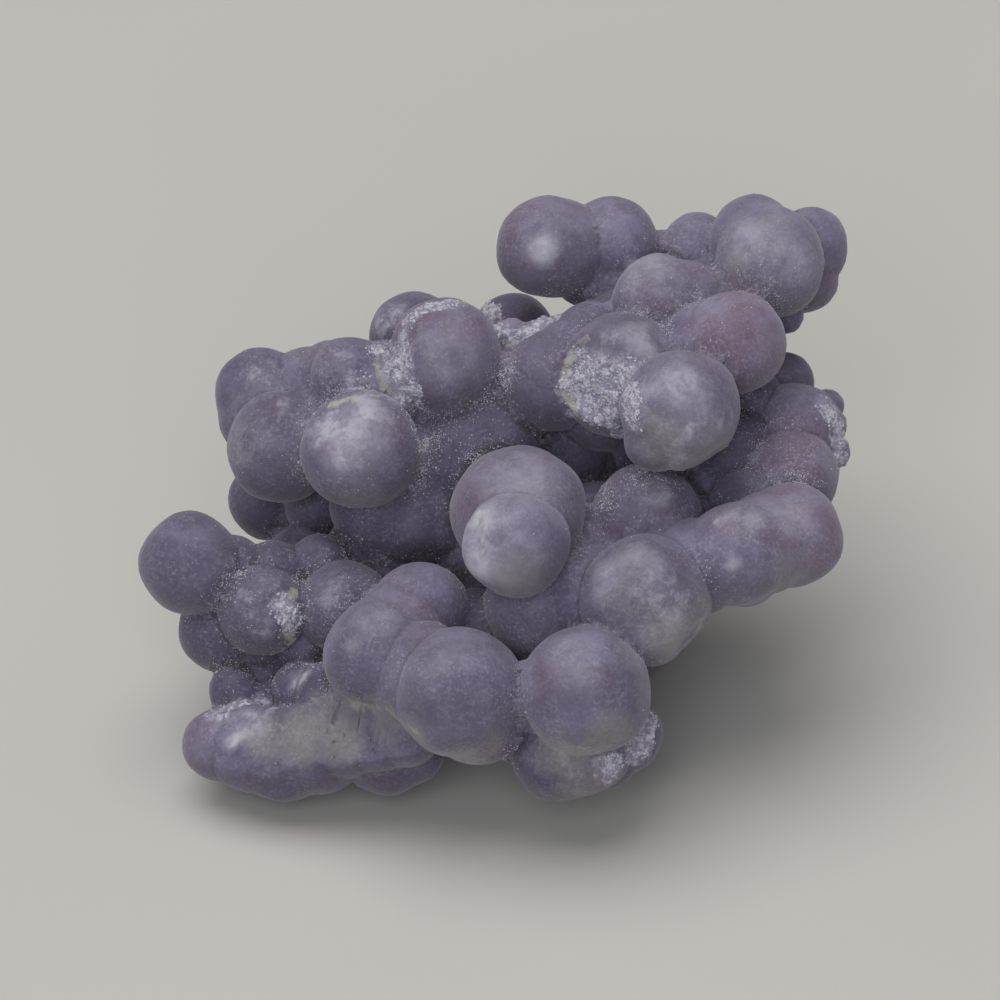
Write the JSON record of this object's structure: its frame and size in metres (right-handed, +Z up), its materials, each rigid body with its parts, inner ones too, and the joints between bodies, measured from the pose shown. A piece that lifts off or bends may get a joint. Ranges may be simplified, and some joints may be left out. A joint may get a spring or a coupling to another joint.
{
  "type": "grape agate",
  "caption": "Botryoidal chalcedony specimen: a leaning cluster of grown-together round lobes on a small flat cut.",
  "frame": {"origin": "middle of the bounding box's underside, on the surface that the flat cut rests on", "axes": "+X runs to the right along the cluster's length, +Y away from the viewer, +Z up from the flat cut"},
  "size_m": [0.0384, 0.0298, 0.0244],
  "materials": {
    "chalcedony": "matte, slightly translucent mauve with white druse in the creases"
  },
  "bodies": {
    "root": {"grape_agate": "chalcedony"}
  },
  "joints": []
}
